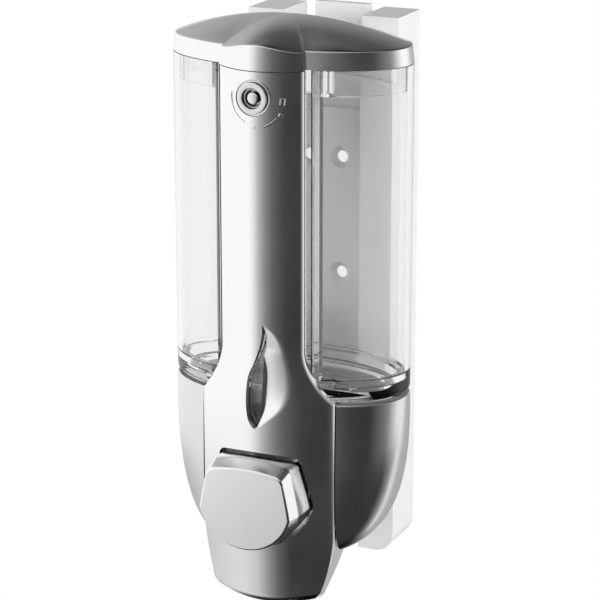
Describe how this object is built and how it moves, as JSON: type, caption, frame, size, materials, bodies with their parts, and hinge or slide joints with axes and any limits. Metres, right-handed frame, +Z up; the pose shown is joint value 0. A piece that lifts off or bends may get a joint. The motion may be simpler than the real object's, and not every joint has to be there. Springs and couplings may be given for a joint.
{
  "type": "soap dispenser",
  "caption": "Wall-mounted soap dispenser: clear oval tank, silver front panel with a push button, hinged lid with a key lock, and a wall bracket.",
  "frame": {"origin": "on the wall face of the bracket, mid-width, level with the shoulder where the clear tank meets the lower housing", "axes": "+X to the right as seen from the front, +Y into the wall, +Z up"},
  "size_m": [0.088, 0.088, 0.2069],
  "materials": {
    "satin_silver": "satin silver plating on plastic",
    "dark_silver": "satin silver plating on plastic, darker",
    "clear_plastic": "clear and glossy",
    "bracket_plastic": "fine satin, light silver grey",
    "bright_chrome": "polished",
    "lock_metal": "satin zinc",
    "spring_steel": "drawn wire",
    "white_plastic": "moulded, matt",
    "black_rubber": "matt"
  },
  "bodies": {
    "housing": {"wall_bracket": "bracket_plastic", "back_shell": "dark_silver", "front_panel": "satin_silver", "reservoir": "clear_plastic", "tank_seal": "black_rubber", "top_collar": "clear_plastic", "hinge_pin": "spring_steel", "sight_window": "clear_plastic", "lock_bezel": "bright_chrome", "lock_body": "lock_metal", "lock_nut": "lock_metal", "return_spring": "spring_steel", "pump_body": "white_plastic", "pump_cap": "white_plastic", "neck_nut": "white_plastic", "neck_seal": "black_rubber", "inlet_seat": "white_plastic", "outlet_valve": "black_rubber", "nozzle": "white_plastic", "panel_screw_1": "spring_steel", "panel_screw_2": "spring_steel", "panel_screw_3": "spring_steel", "panel_screw_4": "spring_steel"},
    "lid": {"lid": "satin_silver"},
    "lock": {"lock_plug": "lock_metal", "lock_pin": "bright_chrome", "lock_cam": "lock_metal", "cam_screw": "spring_steel"},
    "button": {"push_button": "satin_silver", "push_rod": "white_plastic", "piston": "white_plastic", "piston_seal": "black_rubber"},
    "inlet_ball": {"inlet_ball": "spring_steel"}
  },
  "joints": [
    {"name": "lid_hinge", "type": "hinge", "parent": "housing", "child": "lid", "pos_m": [0, -0.0276, 0.12], "axis": [-1, 0, 0], "range_deg": [0, 80]},
    {"name": "lock_turn", "type": "hinge", "parent": "housing", "child": "lock", "pos_m": [0, -0.0785, 0.108], "axis": [0, 1, 0], "range_deg": [0, 90]},
    {"name": "button_press", "type": "slide", "parent": "housing", "child": "button", "axis": [0, 1, 0], "range_m": [0, 0.009], "stiffness_N_per_m": 600, "springref_m": -0.003, "deforming": ["return_spring"]},
    {"name": "inlet_ball_lift", "type": "slide", "parent": "housing", "child": "inlet_ball", "axis": [0, 0, 1], "range_m": [0, 0.0018]}
  ]
}
